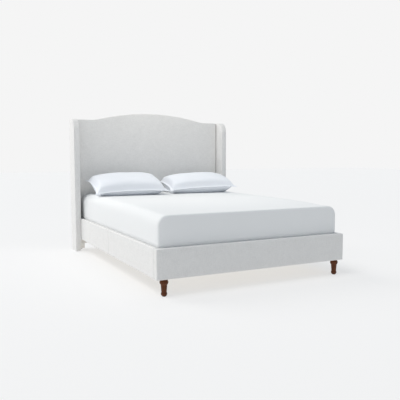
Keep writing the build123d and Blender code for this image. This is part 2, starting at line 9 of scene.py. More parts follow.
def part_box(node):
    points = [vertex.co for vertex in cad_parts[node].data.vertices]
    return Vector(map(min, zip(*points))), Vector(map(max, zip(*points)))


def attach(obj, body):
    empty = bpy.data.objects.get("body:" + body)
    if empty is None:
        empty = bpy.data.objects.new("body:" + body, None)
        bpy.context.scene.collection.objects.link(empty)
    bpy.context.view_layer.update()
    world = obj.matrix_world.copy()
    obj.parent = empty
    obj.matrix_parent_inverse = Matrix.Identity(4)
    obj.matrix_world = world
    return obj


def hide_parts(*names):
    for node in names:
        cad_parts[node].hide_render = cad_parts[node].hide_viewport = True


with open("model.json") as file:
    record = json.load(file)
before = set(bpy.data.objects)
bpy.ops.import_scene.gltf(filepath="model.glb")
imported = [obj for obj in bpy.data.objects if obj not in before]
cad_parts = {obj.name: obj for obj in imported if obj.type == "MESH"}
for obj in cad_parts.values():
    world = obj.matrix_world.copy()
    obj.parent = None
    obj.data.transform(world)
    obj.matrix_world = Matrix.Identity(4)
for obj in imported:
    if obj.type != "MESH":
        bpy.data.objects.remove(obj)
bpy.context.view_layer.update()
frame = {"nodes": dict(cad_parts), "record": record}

bl_info = {
    "name": "Upholstered winged bed",
    "version": (1, 0, 0),
    "blender": (4, 5, 0),
    "location": "View3D > Sidebar > Bed",
    "description": "Dresses the bed's frame with padding, fabric, bedding, timber and steel finishes",
    "category": "Object",
}

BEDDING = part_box("fitted_sheet")
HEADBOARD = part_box("headboard_cover")
RAIL_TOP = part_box("foot_rail_cover")[1].z
# A point this near to a side of a box lies on it.
NEAR = 1e-4
# How far the rails' linen is turned onto the inner face of its board, besides its own thickness.
RAIL_TURN = 0.016
# Rounding of the mattress's long lower edges.
LOWER_EDGE = 0.02


def hex_colour(text):
    """An sRGB hex value as the linear colour that a shader takes."""
    parts = [int(text[k : k + 2], 16) / 255 for k in (0, 2, 4)]
    return [c / 12.92 if c <= 0.04045 else ((c + 0.055) / 1.055) ** 2.4 for c in parts] + [1.0]


def colour(name, description, text):
    """A colour that a user may change, given as sRGB hex."""
    return FloatVectorProperty(
        name=name,
        description=description,
        default=hex_colour(text),
        size=4,
        subtype="COLOR",
        min=0,
        max=1,
    )


def measure(name, description, default, unit="LENGTH"):
    """A number that a user may change, a length in metres unless its unit says otherwise."""
    return FloatProperty(name=name, description=description, default=default, unit=unit)


# Values that a user would change


class BedUpholstery(bpy.types.PropertyGroup):
    """Sizes and colours of the padded frame."""

    shoulder_height: measure(
        "Shoulder height", "Height of the headboard's level shoulders above the floor", 1.311
    )
    shoulder_start: measure(
        "Shoulder start",
        "Distance from the middle at which the camelback curve meets the level shoulder",
        0.650,
    )
    dip_radius: measure("Dip radius", "Radius of the hollow curve beside the crown", 0.400)
    headboard_edge: measure(
        "Headboard edge", "Rounding of the headboard's padded front edge", 0.009
    )
    corner_gap: measure(
        "Corner gap", "Shadow gap between the headboard's padding and each wing", 0.002
    )
    headboard_roll: measure(
        "Headboard side roll", "Rounding of the headboard's padding where it meets the wings", 0.022
    )
    headboard_crown: measure(
        "Headboard crown", "How far the padded front swells in its middle", 0.004
    )
    wing_corner: measure("Wing corner", "Radius of a wing's top front corner", 0.104)
    wing_toe: measure(
        "Wing toe", "Radius of the rounding at the foot of a wing's inner side", 0.030
    )
    wing_edge: measure("Wing edge", "Rounding beside the piping of a wing", 0.007)
    welt_radius: measure("Piping radius", "Radius of the piping cord in its fabric", 0.004)
    rail_edge: measure("Rail edge", "Rounding of the rails' long edges", 0.006)
    turned_width: measure("Turned edge", "Width of the linen turned over onto the back", 0.036)
    skin: measure("Cover thickness", "Fabric with the wadding under it", 0.003)
    fabric_colour: colour("Fabric colour", "Linen of the bed frame", "E8E7E5")
    thread: measure("Thread spacing", "Distance between the threads of the linen weave", 0.0024)


class BedBedding(bpy.types.PropertyGroup):
    """Sizes and colours of the mattress, the sheet and the pillows."""

    shoulder: measure("Mattress shoulder", "Rounding of the mattress's long top edges", 0.076)
    head_rise: measure("Mattress rise", "How far the mattress's top rises towards its head", 0.014)
    foot_drop: measure(
        "Mattress foot drop", "How far the mattress's top falls away towards its foot edge", 0.008
    )
    end_edge: measure(
        "Mattress end edge", "Rounding of the mattress's edges at the foot and the head", 0.016
    )
    sheet_thickness: measure("Sheet thickness", "Thickness of the sheet with its loft", 0.001)
    sheet_colour: colour("Sheet colour", "Cotton percale of the fitted sheet", "F0F1F1")
    case_colour: colour("Pillowcase colour", "Cotton percale of the pillowcases", "F5F8FD")
    pillow_length: measure("Pillow length", "From seam to seam along the bed's width", 0.712)
    pillow_depth: measure("Pillow depth", "From seam to seam the short way", 0.474)
    pillow_crown: measure("Pillow crown", "From the seam's level up to the crown", 0.0865)
    pull_in: measure("Pull-in", "How far a pillow's sides draw in between its corners", 0.016)
    ear: measure("Corner ears", "How far a pillow's corners point outwards", 0.013)
    droop: measure("Corner droop", "How far a pillow's empty corners hang", 0.018)
    flange: measure("Seam width", "Width of the flat margin round a pillowcase", 0.025)
    margin_hang: measure("Margin hang", "How far the edge of the flat margin hangs", 0.013)
    case_pitch: measure("Case mesh", "Size of a face of the pillowcase's cloth", 0.010)
    left_turn: measure(
        "Left pillow turn", "Turn about the vertical", math.radians(-3.4), "ROTATION"
    )
    right_turn: measure(
        "Right pillow turn", "Turn about the vertical", math.radians(-7.1), "ROTATION"
    )


class BedTimber(bpy.types.PropertyGroup):
    """Colours of the timber and the hardware."""

    leg_colour: colour("Leg colour", "Walnut stain of the turned legs", "623314")
    pine_colour: colour("Frame colour", "Bare pine of the frame", "DCC8A4")
    slat_colour: colour("Slat colour", "Bare poplar of the slats", "E6DABF")
    steel_colour: colour("Bracket colour", "Powder coat of the brackets", "2E2E30")
    grain_width: measure("Grain width", "Distance between two lines of the grain", 0.006)


class BedStage(bpy.types.PropertyGroup):
    """The camera, the floor and the lights."""

    lens: measure("Lens", "Focal length for a sensor 36 mm wide", 47.408, "CAMERA")
    eye: FloatVectorProperty(
        name="Camera place",
        description="Where the camera stands",
        default=(-2.082225, -4.263379, 0.931249),
        subtype="TRANSLATION",
    )
    turn: measure(
        "Camera turn", "Turn to the right of straight ahead", math.radians(26.801), "ROTATION"
    )
    dip: measure("Camera dip", "How far the camera looks down", math.radians(4.646), "ROTATION")
    roll: measure("Camera roll", "Turn about the line of sight", math.radians(0.132), "ROTATION")
    floor_colour: colour("Floor colour", "Pale paint of the studio floor", "959595")
    air_colour: colour("Air colour", "Tint of the light from all round", "E8F3FE")
    backdrop_colour: colour("Backdrop colour", "What the camera sees behind the bed", "F5F5F5")
    floor_glow: measure("Floor glow", "Light of its own that the floor sheds", 0.60, "NONE")
    air: measure("Light all round", "Strength of the light from all round", 0.43, "NONE")
    left_light: measure("Left light", "Strength of the high light from the left", 1.22, "NONE")
    back_light: measure("Back light", "Strength of the light behind the left", 1.04, "NONE")
    low_light: measure("Low light", "Strength of the low light by the camera", 0.04, "NONE")
    wing_light: measure("Wing light", "Power of the softbox beside the left wing", 1.5, "POWER")
    overhead: measure("Overhead light", "Power of the softbox above the bed", 6.8, "POWER")


GROUPS = {
    "bed_upholstery": BedUpholstery,
    "bed_bedding": BedBedding,
    "bed_timber": BedTimber,
    "bed_stage": BedStage,
}


# Shaping by hand, in code


def deselect():
    """Goes back to object mode and selects nothing."""
    if bpy.context.mode != "OBJECT":
        bpy.ops.object.mode_set(mode="OBJECT")
    bpy.ops.object.select_all(action="DESELECT")


def choose(piece):
    """Makes a piece the only one selected."""
    deselect()
    piece.select_set(True)
    bpy.context.view_layer.objects.active = piece


def block(name, low, high):
    """A box between two corners, its place in its mesh."""
    deselect()
    low, high = Vector(low), Vector(high)
    bpy.ops.mesh.primitive_cube_add(size=1, location=(low + high) / 2, scale=high - low)
    made = bpy.context.object
    made.name = made.data.name = name
    bpy.ops.object.transform_apply(location=True, rotation=True, scale=True)
    return made


def slice_at(piece, axis, places):
    """Cuts a piece's faces by planes across one axis."""
    choose(piece)
    bpy.ops.object.mode_set(mode="EDIT")
    normal = [float(axis == k) for k in range(3)]
    for place in places:
        bpy.ops.mesh.select_all(action="SELECT")
        bpy.ops.mesh.bisect(plane_co=[place * n for n in normal], plane_no=normal)
    bpy.ops.object.mode_set(mode="OBJECT")


def steps(start, end, pitch):
    """Evenly spaced places between two ends, without the ends, about a pitch apart."""
    count = max(1, round((end - start) / pitch))
    return [start + (end - start) * k / count for k in range(1, count)]


def pick(piece, kind, test):
    """Selects the faces or edges whose middle passes a test, and leaves the piece in edit mode."""
    choose(piece)
    mesh = piece.data
    bpy.ops.object.mode_set(mode="EDIT")
    bpy.ops.mesh.select_mode(type=kind)
    bpy.ops.mesh.select_all(action="DESELECT")
    bpy.ops.object.mode_set(mode="OBJECT")
    if kind == "FACE":
        for face in mesh.polygons:
            face.select = test(face.center, face.normal)
    else:
        for edge in mesh.edges:
            a, b = (mesh.vertices[v].co for v in edge.vertices)
            edge.select = test((a + b) / 2, (b - a).normalized())
    bpy.ops.object.mode_set(mode="EDIT")


def round_edges(piece, test, radius, segments):
    """Rounds the edges whose middle and direction pass a test."""
    pick(piece, "EDGE", test)
    bpy.ops.mesh.bevel(offset=radius, segments=segments, affect="EDGES")
    bpy.ops.object.mode_set(mode="OBJECT")


def remove_faces(piece, test):
    """Deletes the faces whose middle and normal pass a test."""
    pick(piece, "FACE", test)
    bpy.ops.mesh.delete(type="FACE")
    bpy.ops.object.mode_set(mode="OBJECT")


def finish_with(piece, kind, **settings):
    """Adds a modifier with its settings and applies it."""
    choose(piece)
    made = piece.modifiers.new(kind.lower(), kind)
    for name, value in settings.items():
        setattr(made, name, value)
    bpy.ops.object.modifier_apply(modifier=made.name)


def soften(piece, radius, segments):
    """Rounds the edges where two faces of a piece meet at more than 50 degrees."""
    rounding = {"width": radius, "segments": segments}
    finish_with(piece, "BEVEL", limit_method="ANGLE", angle_limit=math.radians(50), **rounding)


def smooth(piece, limit=40):
    """Shades a piece smooth, apart from its edges that are sharper than a limit in degrees."""
    choose(piece)
    bpy.ops.object.shade_smooth_by_angle(angle=math.radians(limit))


def outward(piece):
    """Merges doubles and turns every face outwards."""
    choose(piece)
    bpy.ops.object.mode_set(mode="EDIT")
    bpy.ops.mesh.select_all(action="SELECT")
    bpy.ops.mesh.remove_doubles(threshold=1e-6)
    bpy.ops.mesh.normals_make_consistent(inside=False)
    bpy.ops.object.mode_set(mode="OBJECT")


def ease(x):
    """A smooth rise from 0 to 1."""
    x = min(max(x, 0.0), 1.0)
    return x * x * (3 - 2 * x)


def swell(piece, amount, reach, axes):
    """Swells a box's flat sides: nothing at their edges and the full amount further in than reach."""
    low = [min(v.co[k] for v in piece.data.vertices) for k in range(3)]
    high = [max(v.co[k] for v in piece.data.vertices) for k in range(3)]
    for vertex in piece.data.vertices:
        p = vertex.co.copy()
        for k in axes:
            side = (p[k] > high[k] - NEAR) - (p[k] < low[k] + NEAR)
            if side:
                share = 1.0
                for other in range(3):
                    if other != k:
                        share *= ease(min(p[other] - low[other], high[other] - p[other]) / reach)
                vertex.co[k] += side * amount * share


def joined(pieces, name):
    """Several pieces as one object."""
    choose(pieces[0])
    for piece in pieces:
        piece.select_set(True)
    bpy.ops.object.join()
    pieces[0].name = pieces[0].data.name = name
    return pieces[0]


def copied(piece, name):
    """A copy with its own mesh."""
    made = piece.copy()
    made.data = piece.data.copy()
    made.name = made.data.name = name
    bpy.context.scene.collection.objects.link(made)
    return made


def tube(name, points, radius):
    """A round tube along points, its ends closed."""
    deselect()
    curve = bpy.data.curves.new(name, "CURVE")
    curve.dimensions = "3D"
    curve.bevel_depth = radius
    curve.bevel_resolution = 3
    curve.use_fill_caps = True
    line = curve.splines.new("POLY")
    line.points.add(len(points) - 1)
    for point, place in zip(line.points, points):
        point.co = (*place, 1)
    made = bpy.data.objects.new(name, curve)
    bpy.context.scene.collection.objects.link(made)
    choose(made)
    bpy.ops.object.convert(target="MESH")
    return bpy.context.object


def dressed(piece, material, body="bed_frame"):
    """Gives a piece its material and its body."""
    piece.data.materials.clear()
    piece.data.materials.append(material)
    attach(piece, body)


# Materials


def node(tree, kind, values=None, links=None, **settings):
    """A shader node with its settings, its socket values and what feeds its sockets."""
    made = tree.nodes.new(kind)
    for name, value in settings.items():
        setattr(made, name, value)
    for socket, value in (values or {}).items():
        made.inputs[socket].default_value = value
    for socket, source in (links or {}).items():
        tree.links.new(source, made.inputs[socket])
    return made


def new_material(name, values):
    """A material with its shader, and the object's own coordinates for its pattern."""
    made = bpy.data.materials.new(name)
    made.use_nodes = True
    tree = made.node_tree
    tree.nodes.clear()
    shader = node(tree, "ShaderNodeBsdfPrincipled", values)
    node(tree, "ShaderNodeOutputMaterial", links={"Surface": shader.outputs[0]})
    place = node(tree, "ShaderNodeTexCoord").outputs["Object"]
    return made, tree, shader, place


def shaded(tint, share):
    """A linear colour made lighter or darker."""
    return [min(1.0, c * share) for c in tint[:3]] + [1.0]


def tinted(tree, shader, pattern, tint, low, high):
    """Colours a shader by a pattern, from one share of its tint to another."""
    ends = {6: shaded(tint, low), 7: shaded(tint, high)}
    mix = node(tree, "ShaderNodeMix", ends, {"Factor": pattern}, data_type="RGBA")
    tree.links.new(mix.outputs[2], shader.inputs["Base Color"])


def spots(tree, place, size, stretch=(1, 1, 1), detail=2.0):
    """Noise whose blots are about one size across, drawn out along some axes."""
    scale = [1 / (size * s) for s in stretch]
    placed = node(tree, "ShaderNodeMapping", {"Scale": scale}, {"Vector": place})
    values = {"Scale": 1.0, "Detail": detail}
    made = node(tree, "ShaderNodeTexNoise", values, {"Vector": placed.outputs[0]})
    return made.outputs[0]


def threads(tree, place, spacing, direction, wander=0.0):
    """Parallel threads across one axis, a real distance apart."""
    values = {"Scale": math.pi / 10 / spacing, "Distortion": wander, "Detail": 1.0}
    bands = {"wave_type": "BANDS", "bands_direction": direction}
    made = node(tree, "ShaderNodeTexWave", values, {"Vector": place}, **bands)
    return made.outputs["Fac"]


def total(tree, sources, weights):
    """A weighted sum of values."""
    result = None
    for source, weight in zip(sources, weights):
        scaled = node(tree, "ShaderNodeMath", {1: weight}, {0: source}, operation="MULTIPLY")
        if result is not None:
            both = {0: result.outputs[0], 1: scaled.outputs[0]}
            scaled = node(tree, "ShaderNodeMath", links=both, operation="ADD")
        result = scaled
    return result.outputs[0]


def bump(tree, shader, height, strength, distance):
    """Gives a shader fine relief from a pattern."""
    values = {"Strength": strength, "Distance": distance}
    made = node(tree, "ShaderNodeBump", values, {"Height": height})
    tree.links.new(made.outputs[0], shader.inputs["Normal"])


def linen(name, tint, thread):
    """Plain-woven linen: threads of uneven thickness give it fine cross lines and long slubs."""
    sheen = {"Roughness": 0.9, "Sheen Weight": 0.25, "Sheen Roughness": 0.6, "Specular IOR Level": 0.25}
    made, tree, shader, place = new_material(name, sheen)
    # Slubs are some 3 mm thick and 20 to 40 mm long, one set along each direction of the weave.
    level = spots(tree, place, 0.003, (9, 9, 1), detail=3.0)
    upright = spots(tree, place, 0.003, (1, 1, 9), detail=3.0)
    cloud = spots(tree, place, 0.05, detail=3.0)
    tone = total(tree, (level, upright, cloud), (0.4, 0.4, 0.2))
    wide = node(tree, "ShaderNodeMapRange", {"From Min": 0.36, "From Max": 0.64}, {"Value": tone})
    tinted(tree, shader, wide.outputs[0], tint, 0.93, 1.05)
    # Linen threads lie about 0.8 mm apart: they are drawn three times as coarse to show at all.
    weave = total(tree, [threads(tree, place, thread, d, 0.6) for d in "XYZ"], (0.34, 0.33, 0.33))
    bump(tree, shader, total(tree, (weave, tone), (0.6, 1.0)), 0.35, 0.0012)
    return made


def percale(name, tint):
    """Washed cotton percale: too fine a weave to see, matt, with faint soft creases."""
    values = {"Roughness": 0.9, "Sheen Weight": 0.04, "Sheen Roughness": 0.5, "Specular IOR Level": 0.2}
    made, tree, shader, place = new_material(name, values)
    cloud = spots(tree, place, 0.25, (1.0, 1.6, 1.0), detail=3.0)
    tinted(tree, shader, cloud, tint, 0.985, 1.0)
    # Percale threads lie 0.25 mm apart: they are drawn at 1 mm so that close views catch them.
    weave = total(tree, [threads(tree, place, 0.001, d) for d in "XYZ"], (0.34, 0.33, 0.33))
    creases = spots(tree, place, 0.05, (1.0, 1.5, 1.0), detail=4.0)
    bump(tree, shader, total(tree, (weave, creases), (0.03, 1.0)), 0.15, 0.004)
    return made


def ticking(name, tint):
    """Knitted mattress ticking with a soft quilted surface."""
    values = {"Roughness": 0.9, "Sheen Weight": 0.2, "Specular IOR Level": 0.25}
    made, tree, shader, place = new_material(name, values)
    knit = total(tree, [threads(tree, place, 0.004, d, 1.0) for d in "XYZ"], (0.34, 0.33, 0.33))
    tinted(tree, shader, knit, tint, 0.92, 1.0)
    bump(tree, shader, knit, 0.3, 0.001)
    return made


def nonwoven(name, tint):
    """Spun-bonded dust cloth: thin dark felt with a grid of small bonding points, and painted shade
    along its puckers.
    """
    values = {"Roughness": 0.95, "Specular IOR Level": 0.2}
    made, tree, shader, place = new_material(name, values)
    fibres = spots(tree, place, 0.004, (3, 1, 1), detail=4.0)
    puckers_and_shade = spots(tree, place, 0.11, (1, 1, 2.2), detail=3.0)
    # The colour darkens and lightens along the puckers as painted shade, over the fibres' own uneven
    # tone.
    tone = total(tree, (fibres, puckers_and_shade), (0.5, 0.5))
    tinted(tree, shader, tone, tint, 0.55, 1.5)
    # Bonding points are 1.5 mm apart: they are drawn at 4 mm to show.
    points = total(tree, [threads(tree, place, 0.004, d) for d in "XZ"], (0.5, 0.5))
    bump(tree, shader, total(tree, (points, fibres, puckers_and_shade), (0.02, 0.015, 1.0)), 0.5, 0.02)
    return made


def webbing(name, tint):
    """Woven polypropylene webbing: a herringbone of flat yarns."""
    values = {"Roughness": 0.6, "Specular IOR Level": 0.4}
    made, tree, shader, place = new_material(name, values)
    yarn = total(tree, [threads(tree, place, 0.004, d) for d in ("X", "DIAGONAL")], (0.5, 0.5))
    tinted(tree, shader, yarn, tint, 0.7, 1.0)
    bump(tree, shader, yarn, 0.5, 0.0008)
    return made


def timber(name, tint, grain, along, values, contrast=(0.72, 1.12)):
    """Planed or turned timber: grain lines drawn out along one axis over slow changes of tone."""
    made, tree, shader, place = new_material(name, values)
    fine, slow = ([drawn if axis == along else 1.0 for axis in "XYZ"] for drawn in (40.0, 8.0))
    lines = spots(tree, place, grain, fine, detail=5.0)
    slow = spots(tree, place, grain * 9, slow, detail=2.0)
    tone = total(tree, (lines, slow), (0.6, 0.4))
    wide = node(tree, "ShaderNodeMapRange", {"From Min": 0.35, "From Max": 0.65}, {"Value": tone})
    tinted(tree, shader, wide.outputs[0], tint, *contrast)
    bump(tree, shader, lines, 0.25, 0.0006)
    return made


def plated_steel(name, tint):
    """Zinc-plated steel: a bright cool metal with a faint spangle."""
    made, tree, shader, place = new_material(name, {"Metallic": 1.0, "Roughness": 0.35})
    spangle = spots(tree, place, 0.003, detail=1.0)
    tinted(tree, shader, spangle, tint, 0.85, 1.0)
    bump(tree, shader, spangle, 0.1, 0.0002)
    return made


def powder_coat(name, tint):
    """Powder-coated steel: a dark satin skin with fine orange peel."""
    values = {"Roughness": 0.5, "IOR": 1.5, "Specular IOR Level": 0.5}
    made, tree, shader, place = new_material(name, values)
    peel = spots(tree, place, 0.0025, detail=2.0)
    tinted(tree, shader, peel, tint, 0.9, 1.15)
    bump(tree, shader, peel, 0.3, 0.0003)
    return made


def moulded_plastic(name, tint):
    """Moulded polypropylene: a dark matt plastic with a fine spark-eroded texture."""
    values = {"Roughness": 0.55, "IOR": 1.49}
    made, tree, shader, place = new_material(name, values)
    grain = spots(tree, place, 0.0012, detail=2.0)
    tinted(tree, shader, grain, tint, 0.85, 1.2)
    bump(tree, shader, grain, 0.25, 0.0002)
    return made


def material(name, make, *values):
    """The material of a name, made once."""
    return bpy.data.materials.get(name) or make(name, *values)


def frame_fabric():
    settings = bpy.context.scene.bed_upholstery
    return material("pale_linen_upholstery", linen, settings.fabric_colour, settings.thread)


# The camelback outline


def camelback(x, inset=0.0):
    """The height of the headboard's top edge at a distance from the middle."""
    settings = bpy.context.scene.bed_upholstery
    top, start, dip = settings.shoulder_height, settings.shoulder_start, settings.dip_radius
    crown = HEADBOARD[1].z
    rise = crown - top
    both = (start**2 + rise**2) / (2 * rise)
    radius = both - dip
    meet = start * radius / both
    x = abs(x)
    if x < meet:
        return crown - radius + math.sqrt((radius - inset) ** 2 - x**2)
    if x < start:
        return top + dip - math.sqrt((dip + inset) ** 2 - (start - x) ** 2)
    return top - inset


def raise_top(piece, base, flat_top, inset=0.0):
    """Stretches a slab's vertices so that its top edge follows the camelback outline."""
    for vertex in piece.data.vertices:
        share = (vertex.co.z - base) / (flat_top - base)
        vertex.co.z = base + share * (camelback(vertex.co.x, inset) - base)


# Operators


class BED_OT_set_stage(bpy.types.Operator):
    """Sets up the camera, the floor and the lights"""

    bl_idname = "bed.set_stage"
    bl_label = "Set stage"

    def execute(self, context):
        settings = context.scene.bed_stage
        bpy.ops.object.camera_add(location=settings.eye)
        camera = context.object
        camera.name = "photo_camera"
        camera.data.lens = settings.lens
        camera.data.sensor_width = 36
        camera.data.clip_end = 100
        level = math.pi / 2
        camera.rotation_euler = Euler((level - settings.dip, settings.roll, -settings.turn), "XYZ")
        context.scene.camera = camera
        self.lay_floor(settings)
        self.light_air(settings)
        self.hang_lights(settings)
        return {"FINISHED"}

    def lay_floor(self, settings):
        """One large pale sheet of studio floor."""
        deselect()
        bpy.ops.mesh.primitive_plane_add(size=60, location=(0, 0, 0))
        floor = bpy.context.object
        floor.name = "studio_floor"
        made, tree, shader, place = new_material("painted_studio_floor", {"Roughness": 0.9})
        tint = settings.floor_colour
        cloud = spots(tree, place, 0.6)
        tinted(tree, shader, cloud, tint, 0.995, 1.0)
        # The floor glows with light of its own: painted light that pales the shadows cast on it.
        shader.inputs["Emission Color"].default_value = (1, 1, 1, 1)
        shader.inputs["Emission Strength"].default_value = settings.floor_glow
        floor.data.materials.append(made)

    def light_air(self, settings):
        """Light from all round, and the plain backdrop that the camera sees."""
        bpy.context.scene.view_settings.view_transform = "Standard"
        world = bpy.data.worlds.new("studio_air")
        bpy.context.scene.world = world
        world.use_nodes = True
        tree = world.node_tree
        tree.nodes.clear()
        air, backdrop = (
            node(tree, "ShaderNodeBackground", {"Color": tint, "Strength": strength})
            for tint, strength in ((settings.air_colour, settings.air), (settings.backdrop_colour, 1.0))
        )
        seen = node(tree, "ShaderNodeLightPath").outputs["Is Camera Ray"]
        links = {0: seen, 1: air.outputs[0], 2: backdrop.outputs[0]}
        both = node(tree, "ShaderNodeMixShader", links=links)
        node(tree, "ShaderNodeOutputWorld", links={"Surface": both.outputs[0]})

    def hang_lights(self, settings):
        """Three far lights, each by its compass turn and height in degrees, and two softboxes."""
        for name, compass, height, strength, spread in (
            ("left_light", 90, 60, settings.left_light, 30),
            ("back_light", 150, 38, settings.back_light, 30),
            ("low_light", 50, 14, settings.low_light, 9),
        ):
            light = bpy.data.lights.new(name, "SUN")
            light.energy = strength
            light.color = hex_colour("FFFCF8")[:3]
            light.angle = math.radians(spread)
            way = Vector((0, -1, 0))
            way.rotate(Euler((-math.radians(height), 0, 0)))
            way.rotate(Euler((0, 0, -math.radians(compass))))
            self.hang(name, light, way * 5, way)
        for name, power, at, target in (
            ("overhead_softbox", settings.overhead, (0, 0, 2.3), (0, 1.02, 0.6)),
            ("wing_softbox", settings.wing_light, (-1.9, 1.25, 1.35), (-0.85, 0.98, 1.2)),
        ):
            softbox = bpy.data.lights.new(name, "AREA")
            softbox.energy = power
            softbox.color = hex_colour("FFFAF2")[:3]
            softbox.size = 0.6
            lamp = self.hang(name, softbox, Vector(at), Vector(at) - Vector(target))
            lamp.visible_camera = False

    def hang(self, name, light, at, way):
        """Hangs a light at a place, shining from one way."""
        lamp = bpy.data.objects.new(name, light)
        lamp.location = at
        lamp.rotation_euler = way.to_track_quat("Z", "Y").to_euler()
        bpy.context.scene.collection.objects.link(lamp)
        return lamp


class BED_OT_pad_headboard(bpy.types.Operator):
    """Pads the headboard's front with foam and linen, turned round its edges"""

    bl_idname = "bed.pad_headboard"
    bl_label = "Pad headboard"

    def execute(self, context):
        settings = context.scene.bed_upholstery
        low, high = HEADBOARD
        gap = Vector((settings.corner_gap, 0, 0))
        low, high = low + gap, high - gap
        flat_top = settings.shoulder_height
        pad = block("headboard_pad", low, (high.x, high.y, flat_top))
        slice_at(pad, 0, steps(low.x, high.x, 0.025))
        slice_at(pad, 2, steps(low.z, flat_top, 0.05))
        round_edges(
            pad,
            lambda at, way: abs(way.z) > 0.9 and at.y < low.y + NEAR and abs(at.x) > high.x - NEAR,
            settings.headboard_roll,
            6,
        )
        raise_top(pad, low.z, flat_top)
        remove_faces(pad, lambda centre, normal: normal.y > 0.9)
        soften(pad, settings.headboard_edge, 5)
        for vertex in pad.data.vertices:
            p = vertex.co
            if p.y < low.y + NEAR:
                edge = min(p.x - low.x, high.x - p.x, camelback(p.x) - p.z, p.z - low.z)
                ripple = 0.0006 * noise.noise(Vector((p.x * 5, 3.1, p.z * 4)))
                p.y -= settings.headboard_crown * ease(edge / 0.12) + ripple * ease(edge / 0.03)
        finish_with(pad, "SOLIDIFY", thickness=settings.skin, offset=-1)
        pad = joined([pad, self.turned_edge(settings)], "headboard_pad")
        smooth(pad)
        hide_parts("headboard_cover", "headboard_foam")
        dressed(pad, frame_fabric())
        return {"FINISHED"}

    def turned_edge(self, settings):
        """The linen's edge, turned over onto the back of the frame."""
        low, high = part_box("headboard_back_cloth")
        flat_top, width, thickness = settings.shoulder_height, settings.turned_width, 0.0008
        strip = block("turned_edge", low, (high.x, low.y + thickness, flat_top))
        inner = high.x - width
        slice_at(strip, 0, [-inner, *steps(-inner, inner, 0.025), inner])
        slice_at(strip, 2, [low.z + width, flat_top - width])
        remove_faces(
            strip,
            lambda centre, normal: normal.y < 0.9
            or (abs(centre.x) < inner and low.z + width < centre.z < flat_top - width),
        )
        for vertex in strip.data.vertices:
            if vertex.co.z > flat_top - width - NEAR:
                vertex.co.z += camelback(vertex.co.x, 0.001) - flat_top
        finish_with(strip, "SOLIDIFY", thickness=thickness, offset=-1)
        return strip


class BED_OT_close_back(bpy.types.Operator):
    """Closes the headboard's back with a stapled dust cloth"""

    bl_idname = "bed.close_back"
    bl_label = "Close back"

    def execute(self, context):
        settings = context.scene.bed_upholstery
        low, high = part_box("headboard_back_cloth")
        flat_top = settings.shoulder_height
        inset = 0.4 * settings.turned_width
        # The cloth lies over the turned edge of the linen.
        low += Vector((inset, 0.0009, inset))
        high += Vector((-inset, 0.0005, -inset))
        cloth = block("headboard_dust_cloth", low, (high.x, high.y, flat_top))
        slice_at(cloth, 0, steps(low.x, high.x, 0.04))
        slice_at(cloth, 2, steps(low.z, flat_top, 0.06))
        raise_top(cloth, low.z, flat_top, inset)
        remove_faces(cloth, lambda centre, normal: normal.y < 0.9)
        for vertex in cloth.data.vertices:
            p = vertex.co
            edge = min(p.x - low.x, high.x - p.x, camelback(p.x, inset) - p.z, p.z - low.z)
            # The taut cloth lies on the timber and only ever stands off it.
            billow = 0.0016 + 0.0016 * noise.noise(Vector((p.x * 4, 7.7, p.z * 4)))
            p.y += max(0.0, billow) * ease(edge / 0.08)
        finish_with(cloth, "SOLIDIFY", thickness=high.y - low.y, offset=-1)
        smooth(cloth)
        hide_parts("headboard_back_cloth")
        dressed(cloth, material("dust_cloth", nonwoven, hex_colour("4A4A4C")))
        self.staple(low, high, inset)
        return {"FINISHED"}

    def staple(self, low, high, inset):
        """A row of staples just inside the cloth's edge."""
        margin, pitch, beside = 0.007, 0.075, 0.005
        crown, wire = 0.012, 0.0011
        # The side rows end just under the level shoulders.
        highest = 1.3
        first = block("staple", (-crown / 2, 0, -wire / 2), (crown / 2, 0.0007, wire / 2))
        soften(first, 0.0003, 1)
        places = []
        for x in steps(low.x + margin, high.x - margin, pitch):
            slope = (camelback(x + beside) - camelback(x - beside)) / (2 * beside)
            places.append((x, camelback(x, inset + margin), math.atan(slope)))
            places.append((x, low.z + margin, 0.0))
        for z in steps(low.z + margin, highest, pitch):
            places += [(low.x + margin, z, math.pi / 2), (high.x - margin, z, math.pi / 2)]
        made = []
        for number, (x, z, turn) in enumerate(places):
            one = copied(first, f"staple_{number}")
            one.data.transform(Matrix.Translation((x, high.y, z)) @ Matrix.Rotation(-turn, 4, "Y"))
            made.append(one)
        bpy.data.objects.remove(first)
        staples = joined(made, "back_staples")
        steel = material("zinc_plated_steel", plated_steel, hex_colour("9A9B9E"))
        dressed(staples, steel)


